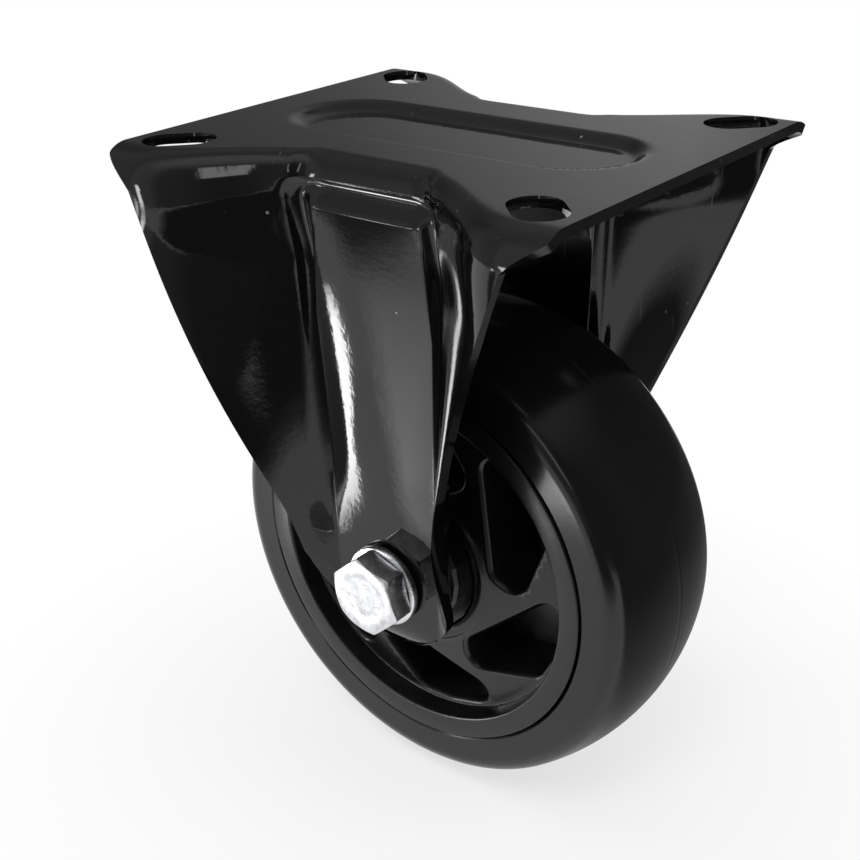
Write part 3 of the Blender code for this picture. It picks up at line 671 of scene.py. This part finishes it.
def make_tyre():
    """A crowned tread and round shoulders, with a fine moulding line round the middle."""
    half, crown, shoulder, chamfer = 0.0173, 0.0430, 0.0038, 0.0004
    key, key_depth = 0.0063, 0.0014
    seam, seam_radius, seam_angle = 0.00025, 0.04994, 1.2
    centre = TYRE_RADIUS - crown
    high = half - shoulder
    middle = centre + math.sqrt((crown - shoulder) ** 2 - high**2)
    tangent = math.degrees(math.asin(high / (crown - shoulder)))
    bore = HUB_RADIUS + FACE_GAP
    upper = [(bore + key_depth, key), (bore, key), (bore, half - chamfer), (bore + chamfer, half)]
    upper += [(mix(bore, middle, t), half) for t in (0.4, 0.8)]
    upper += arc((middle, high), shoulder, 90, tangent, 10)
    upper += arc((centre, 0.0), crown, tangent, seam_angle, 14)[1:]
    line = [(TYRE_RADIUS, seam), (seam_radius, 0.0), (TYRE_RADIUS, -seam)]
    tyre = on_axle(turned("solid_tyre", upper + line + mirrored(upper), 192))
    finish_piece(tyre, TYRE, "wheel", ["tyre"], 35)


# The wheel's core, with six swirled pockets on each face

RIM_INNER = 0.0343
RIM_ROUND = 0.0006
BOSS_RADIUS = 0.0168
BOSS_FACE = 0.01675
BEARING_SEAT = 0.0143
BEARING_STOP = 0.0128
BEARING_STOP_HEIGHT = 0.00645
DISH_OUTER = 0.0336
DISH_LOW = HUB_HALF - 0.0043
DISH_HIGH = BOSS_FACE - 0.0006
POCKETS = 6
POCKET_RIM = 0.0322
POCKET_RIM_STEPS = 3
POCKET_START = math.radians(4)
POCKET_SPREAD = math.radians(37)
POCKET_TIP_SWEEP = math.radians(63)
POCKET_TIP_RADIUS = 0.023576
POCKET_TIP_WIDTH = 0.005621
POCKET_TIP_SLANT = math.radians(40)
POCKET_CORNER = 0.002618
POCKET_FLOOR = 0.0020
POCKET_DRAFT = 0.94
MOUTH_START = 0.01135
MOUTH_SLOPE = 0.28
LIP = 0.0009
LIP_ANGLES = (0, 14, 28, 42, 56, 68)
SLIGHT_CORNER = math.radians(80)
SLIGHT_CORNER_LENGTH = 0.0008


def dish_height(radius):
    """How high the spokes' outer face is."""
    share = (radius - BOSS_RADIUS) / (DISH_OUTER - BOSS_RADIUS)
    return mix(DISH_HIGH, DISH_LOW, min(max(share, 0.0), 1.0))


def rounded_outline(corners, corner_radius):
    """A closed outline with each corner replaced by an arc, which is wide on a slight corner."""
    outline = []
    for i, corner in enumerate(corners):
        point = Vector(corner)
        before = (Vector(corners[i - 1]) - point).normalized()
        after = (Vector(corners[(i + 1) % len(corners)]) - point).normalized()
        half = before.angle(after) / 2
        slight = half > SLIGHT_CORNER
        radius = SLIGHT_CORNER_LENGTH * math.tan(half) if slight else corner_radius
        middle = point + (before + after).normalized() * radius / math.sin(half)
        first = point + before * radius / math.tan(half) - middle
        turn = first.angle_signed(point + after * radius / math.tan(half) - middle)
        count = 3 if slight else 8
        for step in range(count + 1):
            outline.append(middle + Matrix.Rotation(-turn * step / count, 2) @ first)
    return outline


def pocket_outline():
    """One swirled pocket between two spokes: along the rim, then back to a narrow tip."""
    step = POCKET_SPREAD / POCKET_RIM_STEPS
    polar = [(POCKET_RIM, POCKET_START)]
    for i in range(1, POCKET_RIM_STEPS):
        angle = POCKET_START - POCKET_SPREAD * i / POCKET_RIM_STEPS
        polar.append((POCKET_RIM / math.cos(step / 2), angle))
    polar.append((POCKET_RIM, POCKET_START - POCKET_SPREAD))
    tip = POCKET_START - POCKET_TIP_SWEEP
    inner = POCKET_TIP_RADIUS - POCKET_TIP_WIDTH * math.cos(POCKET_TIP_SLANT)
    turn = POCKET_TIP_WIDTH * math.sin(POCKET_TIP_SLANT) / POCKET_TIP_RADIUS
    polar += [(POCKET_TIP_RADIUS, tip), (inner, tip + turn)]
    corners = [(radius * math.cos(angle), radius * math.sin(angle)) for radius, angle in polar]
    return rounded_outline(corners, POCKET_CORNER)


def pocket_ring(outline, centre, depth, lip):
    """The pocket's outline at a depth below the spokes' face, wider towards its mouth."""
    ring = []
    count = len(outline)
    for i, point in enumerate(outline):
        along = outline[(i + 1) % count] - outline[i - 1]
        out = Vector((along.y, -along.x)).normalized()
        if out.dot(point - centre) < 0.0:
            out.negate()
        height = dish_height(point.length) - depth
        spot = point + out * (lip + MOUTH_SLOPE * max(height - MOUTH_START, 0.0))
        ring.append((spot.x, spot.y, height))
    return ring


def hub_pockets():
    """Cutters for the pockets on both faces, with a drafted floor and a round lip."""
    outline = pocket_outline()
    centre = sum(outline, Vector((0.0, 0.0))) / len(outline)
    floor = [centre + (point - centre) * POCKET_DRAFT for point in outline]
    rings = [[(p.x, p.y, POCKET_FLOOR) for p in floor]]
    rings += [pocket_ring(outline, centre, depth, 0.0) for depth in (0.0030, 0.0018)]
    for angle in LIP_ANGLES:
        a = math.radians(angle)
        depth, lip = LIP * (1.0 - math.sin(a)), LIP * (1.0 - math.cos(a))
        rings.append(pocket_ring(outline, centre, depth, lip))
    rings.append([(x, y, height + 0.0028) for x, y, height in rings[-1]])
    bm = bmesh.new()
    for side in (-1, 1):
        for i in range(POCKETS):
            turn = Matrix.Rotation(math.radians(360 / POCKETS * i), 3, "Z")
            lofted(bm, [[turn @ Vector((x, y, side * h)) for x, y, h in ring] for ring in rings])
    return add_object("pockets", mesh_from("pockets", bm))


def make_hub():
    """The rim, the dished face, the boss and the bearings' seats in one turned profile."""
    key, key_height, edge = 0.0060, 0.0011, 0.0003
    dish_steps = 14
    upper = [(HUB_RADIUS + key_height, key), (HUB_RADIUS, key)]
    upper += arc((HUB_RADIUS - edge, HUB_HALF - edge), edge, 0, 90, 4)
    upper += arc((RIM_INNER + RIM_ROUND, HUB_HALF - RIM_ROUND), RIM_ROUND, 90, 180, 5)
    upper += [(DISH_OUTER + 0.00015, DISH_LOW + 0.0006), (DISH_OUTER + 0.00005, DISH_LOW + 0.0002)]
    for i in range(dish_steps + 1):
        radius = mix(DISH_OUTER - 0.0003, BOSS_RADIUS + 0.0003, i / dish_steps)
        upper.append((radius, dish_height(radius)))
    upper += [(BOSS_RADIUS - 0.0001, DISH_HIGH + 0.0002)]
    upper += [(BOSS_RADIUS - 0.0003, DISH_HIGH + 0.00045), (BOSS_RADIUS - 0.0006, BOSS_FACE)]
    upper += [(BEARING_SEAT + edge, BOSS_FACE)]
    upper += [(BEARING_SEAT, BOSS_FACE - edge), (BEARING_SEAT, BEARING_STOP_HEIGHT)]
    upper += [(BEARING_STOP, BEARING_STOP_HEIGHT)]
    hub = turned("wheel_core", upper + mirrored(upper), 144)
    cut(hub, hub_pockets())
    finish_piece(on_axle(hub), HUB, "wheel", ["wheel_hub"], 50)


# The axle bolt, its nut and washers

FLATS = 0.0143
HEX_TURN = math.radians(12)
HEX_CORNER_ROUND = 0.0001
HEX_CHAMFER_SLOPE = 0.62
HEX_CHAMFER_SHARE = 0.97
UNDER_HEAD = 0.0279
THREAD_PITCH = 0.00125
THREAD_DEPTH = 0.0005
WASHER_RADIUS = 0.0082
WASHER_INNER_FACE = 0.0261
WASHER_OUTER_FACE = 0.0276


def hex_radius(angle):
    """The distance from a hexagon's middle to its side, with slightly rounded corners."""
    off = (math.degrees(angle) + 30.0) % 60.0 - 30.0
    radius = FLATS / 2 / math.cos(math.radians(off))
    return radius - HEX_CORNER_ROUND * ease(24.0, 30.0, abs(off))


def hex_levels(angle, height, turned_below):
    """(radius, height) up a hexagon whose corners are turned off above, and below if asked."""
    flat = FLATS / 2 * HEX_CHAMFER_SHARE
    reach = hex_radius(angle)
    drop = (reach - flat) * HEX_CHAMFER_SLOPE
    edge = 0.0001
    below = [(flat, 0.0), (reach, drop)] if turned_below else [(reach - edge, 0.0), (reach, edge)]
    return below + [(reach, height - drop), (flat, height)]


def thread_radius(angle, height):
    """A helical thread on the bolt's shank."""
    place = (height / THREAD_PITCH + angle / (2 * math.pi)) % 1.0
    return BOLT_RADIUS - THREAD_DEPTH * max(0.0, min(1.0, 2.6 * abs(2.0 * place - 1.0) - 0.8))


def bolt_profile(angle):
    """The pointed and threaded end, the shank, and a head with a shallow round dimple."""
    head, dimple, dimple_depth, point = 0.0050, 0.0046, 0.0001, 0.0008
    thread, thread_steps, thread_end = 0.0190, 150, 0.0195
    end = -0.0410 - UNDER_HEAD
    start = end + point
    points = [(0.0, end), (BOLT_RADIUS - point, end)]
    for i in range(thread_steps):
        height = start + thread * i / thread_steps
        points.append((thread_radius(angle, height), height))
    points += [(BOLT_RADIUS, start + thread_end), (BOLT_RADIUS, 0.0)]
    points += hex_levels(angle, head, False)
    points += [(dimple + 0.0002, head), (dimple, head - 0.00008)]
    return points + [(dimple - 0.0004, head - dimple_depth), (0.0, head - dimple_depth)]


def make_bolt():
    bolt = on_axle(turned("hex_bolt", bolt_profile, 144), UNDER_HEAD, HEX_TURN)
    bevel = bolt.modifiers.new("Bevel", "BEVEL")
    bevel.width, bevel.segments, bevel.limit_method = 0.00012, 2, "ANGLE"
    bevel.angle_limit = math.radians(35)
    finish_piece(bolt, ZINC, "fork_and_axle", ["axle_bolt"], 40)


def nut_profile(angle):
    """A hexagon with a round collar on it, which holds the nylon ring in a groove."""
    height, collar, top, collar_round = 0.0078, 0.0067, 0.0108, 0.0009
    groove, floor, entry, fillet = 0.0057, 0.0068, 0.0004, 0.0003
    points = [(HOLE_RADIUS, floor), (HOLE_RADIUS, entry), (HOLE_RADIUS + entry, 0.0)]
    points += hex_levels(angle, height, True)
    points += [(collar + fillet, height), (collar, height + fillet)]
    points += arc((collar - collar_round, top - collar_round), collar_round, 0, 90, 6)
    return points + [(groove, top - 0.0001), (groove, floor)]


def make_nut():
    """The nut, turned away from the bolt's head, on its washer's outer face."""
    seat = UNDER_HEAD - FACE_GAP
    nut = on_axle(turned("collared_nut", nut_profile, 144), -seat, -HEX_TURN, True)
    finish_piece(nut, ZINC, "fork_and_axle", ["lock_nut"], 30)


def make_washer(name, low, high, node):
    """A plain ring along the axle, with small chamfers on its edges."""
    inner, outer, edge = HOLE_RADIUS, WASHER_RADIUS, 0.0002
    profile = [(inner, low + edge), (inner + edge, low), (outer - edge, low), (outer, low + edge)]
    profile += [(outer, high - edge), (outer - edge, high)]
    profile += [(inner + edge, high), (inner, high - edge)]
    washer = on_axle(turned(name, profile, 96))
    finish_piece(washer, ZINC, "fork_and_axle", [node], 50)


make_fork()
make_tyre()
make_hub()
make_bolt()
make_nut()
make_washer("bolt_side_washer", WASHER_INNER_FACE, WASHER_OUTER_FACE, "bolt_washer")
make_washer("nut_side_washer", -WASHER_OUTER_FACE, -WASHER_INNER_FACE, "nut_washer")

# The other pieces keep their solids' shapes, and get procedural materials
REPLACED = ("fork", "tyre", "wheel_hub", "axle_bolt", "lock_nut", "bolt_washer", "nut_washer")
FINISHES = {
    "nut_insert": INSERT,
    "dust_cap_near": HUB,
    "dust_cap_far": HUB,
    "cage_near": CAGE,
    "cage_far": CAGE,
}
for node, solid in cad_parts.items():
    if node not in REPLACED:
        solid.data.materials.clear()
        solid.data.materials.append(FINISHES.get(node, STEEL))


# Floor and world, white for the camera and in reflections

def seen(tree):
    """1 for camera, glossy and transmission rays."""
    rays = tree.nodes.new("ShaderNodeLightPath")
    total = rays.outputs["Is Camera Ray"]
    for name in ("Is Glossy Ray", "Is Transmission Ray"):
        join = tree.nodes.new("ShaderNodeMath")
        join.operation = "MAXIMUM"
        tree.links.new(total, join.inputs[0])
        tree.links.new(rays.outputs[name], join.inputs[1])
        total = join.outputs[0]
    return total


def make_floor():
    """A matt floor that glows where it is seen, a little less under the castor."""
    bm = bmesh.new()
    bmesh.ops.create_grid(bm, x_segments=1, y_segments=1, size=8.0)
    floor = add_object("floor", mesh_from("floor", bm))
    floor.location = (0.0, 0.0, -0.0002)
    m = Nodes("white_floor")
    m.set(Base_Color=(0.85, 0.85, 0.85, 1.0), Roughness=0.7, Specular_IOR_Level=0.0)
    glow = m.add("ShaderNodeEmission", Strength=1.0)
    distance = m.add("ShaderNodeVectorMath", {"operation": "LENGTH"})
    m.put(distance.inputs[0], m.where)
    share = m.ramp(distance.outputs["Value"], 0.03, 0.12, 0.70, 1.0)
    share = m.math("MULTIPLY", share, seen(m.tree))
    m.show(share, m.shader.outputs["BSDF"], glow.outputs["Emission"])
    floor.data.materials.append(m.material)


def make_world():
    """White, and dimmer as a light on surfaces than as it is seen."""
    world = bpy.data.worlds.new("studio")
    world.use_nodes = True
    scene.world = world
    tree = world.node_tree
    background = tree.nodes["Background"]
    background.inputs["Color"].default_value = (1.0, 1.0, 1.0, 1.0)
    strength = tree.nodes.new("ShaderNodeMapRange")
    tree.links.new(seen(tree), strength.inputs["Value"])
    strength.inputs["To Min"].default_value = 0.35
    strength.inputs["To Max"].default_value = 1.0
    tree.links.new(strength.outputs["Result"], background.inputs["Strength"])


# Studio cards, which show in reflections only. A card's place and glow are functions of its own
# two coordinates u and v, each from 0 to 1.

DOME_RADIUS = 0.6
DOME_LIFT = Vector((0.0, 0.0, 0.0008))
PATCH_DISTANCE = 0.5


def softened(value, soft):
    """A card's cover near its edges, for one of its coordinates."""
    return min(min(value, 1 - value) / soft, 1.0) if soft else 1.0


def studio_card(name, place, strength, soft, steps):
    """A card with its own glow at each point and soft edges, in steps along u and v."""
    bm = bmesh.new()
    edge = bm.verts.layers.float.new("edge")
    glow = bm.verts.layers.float.new("glow")
    rows = []
    for i in range(steps[0] + 1):
        row = []
        for j in range(steps[1] + 1):
            u, v = i / steps[0], j / steps[1]
            vert = bm.verts.new(place(u, v))
            vert[edge] = softened(u, soft[0]) * softened(v, soft[1])
            vert[glow] = strength(u, v) if callable(strength) else strength
            row.append(vert)
        rows.append(row)
    for first, second in zip(rows, rows[1:]):
        for j in range(steps[1]):
            bm.faces.new((first[j], second[j], second[j + 1], first[j + 1]))
    mesh = bpy.data.meshes.new(name)
    bm.to_mesh(mesh)
    bm.free()
    card = add_object(name, mesh)
    m = Nodes(name)
    cover = m.add("ShaderNodeAttribute", {"attribute_name": "edge"}).outputs["Fac"]
    power = m.add("ShaderNodeAttribute", {"attribute_name": "glow"}).outputs["Fac"]
    light = m.add("ShaderNodeEmission", Strength=power)
    clear = m.add("ShaderNodeBsdfTransparent")
    m.show(cover, clear.outputs["BSDF"], light.outputs["Emission"])
    mesh.materials.append(m.material)
    card.visible_camera = False
    card.visible_diffuse = False
    card.visible_transmission = False
    card.visible_shadow = False


def direction(azimuth, elevation):
    """The way to a place in the studio: azimuth 0 is -Y and 90 is +X, in degrees."""
    a, e = math.radians(azimuth), math.radians(elevation)
    return Vector((math.sin(a) * math.cos(e), -math.cos(a) * math.cos(e), math.sin(e)))


def dome(u, v):
    return direction(mix(-180, 180, u), mix(0, 90, v)) * DOME_RADIUS + DOME_LIFT


def sheet(corners):
    """A card between four corners in space."""
    def place(u, v):
        near = Vector(corners[0]).lerp(Vector(corners[1]), u)
        far = Vector(corners[3]).lerp(Vector(corners[2]), u)
        return near.lerp(far, v)
    return place


def pad(height, *corners):
    """A flat card just above the floor between four corners."""
    return sheet([(x, y, height) for x, y in corners])


def patch(*corners):
    """A card between four directions, each an azimuth and an elevation."""
    return sheet([direction(a, e) * PATCH_DISTANCE for a, e in corners])


# The bright strip that the rib's left side mirrors: height, and azimuths as seen from the rib
RIB_STRIP = (
    (0.002, -43.0, -52), (0.010, -43.8, -56), (0.020, -45.6, -57), (0.030, -45.4, -58),
    (0.040, -43.9, -58), (0.050, -43.9, -58), (0.060, -45.6, -57), (0.072, -47.5, -56),
)
RIB_STRIP_CENTRE = Vector((-0.012, -0.0268, 0.0))
RIB_STRIP_DISTANCE = 0.095

# How bright the studio's walls are at each azimuth
WALLS = (
    (-180, 0.05), (-168, 0.05), (-157, 0.50), (-150, 0.42), (-143, 0.30), (-135, 0.17),
    (-127, 0.13), (-95, 0.12), (-80, 0.30), (-45, 0.35), (-35, 0.55), (-8, 0.50), (2, 0.25),
    (18, 0.22), (30, 0.10), (100, 0.08), (112, 0.12), (135, 0.08), (165, 0.05), (180, 0.05),
)


def rib_strip(u, v):
    place = v * (len(RIB_STRIP) - 1)
    row = min(int(place), len(RIB_STRIP) - 2)
    ends = zip(RIB_STRIP[row], RIB_STRIP[row + 1])
    height, right, left = [mix(low, high, place - row) for low, high in ends]
    spot = RIB_STRIP_CENTRE + direction(mix(right, left, u), 0) * RIB_STRIP_DISTANCE
    return Vector((spot.x, spot.y, height))


def rib_strip_glow(u, v):
    return mix(10.0, 17.0, ease(0.1, 0.35, v))


def rib_floor_glow(u, v):
    return mix(3.0, 1.2, max(u, v))


def dark_floor_glow(u, v):
    return mix(0.30, 0.09, ease(0.02, 0.35, max(u, v)))


def wall_glow(u, v):
    azimuth, elevation = mix(-180, 180, u), mix(0, 90, v)
    low = WALLS[0]
    for high in WALLS[1:]:
        if azimuth <= high[0]:
            break
        low = high
    around = mix(low[1], high[1], (azimuth - low[0]) / (high[0] - low[0]))
    above = mix(0.35, 0.9, ease(60, 10, abs(azimuth)))
    return mix(around, above, ease(40, 65, elevation))


def lamp(name, location, target, size, power):
    """A softbox that lights surfaces. The cards stand for it in reflections."""
    data = bpy.data.lights.new(name, "AREA")
    data.size = size
    data.energy = power
    obj = bpy.data.objects.new(name, data)
    obj.location = location
    obj.rotation_euler = (Vector(target) - Vector(location)).to_track_quat("-Z", "Y").to_euler()
    obj.visible_glossy = False
    scene.collection.objects.link(obj)


# Each card's name, place, glow, soft edges and steps
CARDS = (
    ("studio_walls", dome, wall_glow, (0.0, 0.0), (120, 24)),
    ("dark_floor_right", pad(0.0006, (0.005, -0.022), (0.6, -0.05), (0.6, 0.6), (0.0, 0.6)),
     dark_floor_glow, (0.03, 0.03), (20, 20)),
    ("dark_floor_front", pad(0.0009, (0.03, -0.13), (0.30, -0.10), (0.6, -0.55), (-0.02, -0.55)),
     0.07, (0.10, 0.10), (16, 12)),
    ("rib_glow", pad(0.0012, (-0.055, -0.095), (-0.02, -0.14), (-0.12, -0.28), (-0.21, -0.235)),
     rib_floor_glow, (0.15, 0.12), (12, 12)),
    ("dark_left", pad(0.0010, (-0.20, -0.22), (-0.15, -0.27), (-0.32, -0.45), (-0.40, -0.32)),
     0.15, (0.2, 0.2), (8, 8)),
    ("strip_left", rib_strip, rib_strip_glow, (0.06, 0.10), (16, 16)),
    ("tyre_glow",
     pad(0.0018, (-0.065, -0.160), (-0.025, -0.160), (-0.025, -0.122), (-0.055, -0.122)),
     9.0, (0.35, 0.35), (10, 10)),
    ("strip_front", patch((27, 18), (22, 18), (13, 50), (18, 50)), 3.0, (0.2, 0.1), (8, 16)),
    ("strip_corner", patch((-28, 1), (-18, 1), (-24, 14), (-32, 14)), 12.0, (0.25, 0.25), (8, 8)),
    ("spot_right", sheet([(-0.166, -0.202, 0.060), (-0.142, -0.222, 0.060),
                          (-0.142, -0.222, 0.080), (-0.166, -0.202, 0.080)]),
     7.0, (0.3, 0.3), (8, 8)),
)

make_floor()
make_world()
for card in CARDS:
    studio_card(*card)
lamp("key_softbox", (-0.62, -0.28, 0.70), (0.0, 0.0, 0.07), 0.26, 2.4)
lamp("overhead", (0.17, -0.45, 0.75), (0.0, 0.0, 0.07), 0.30, 2.4)
lamp("right_fill", (0.85, 0.35, 0.75), (0.0, 0.0, 0.06), 0.6, 3.0)
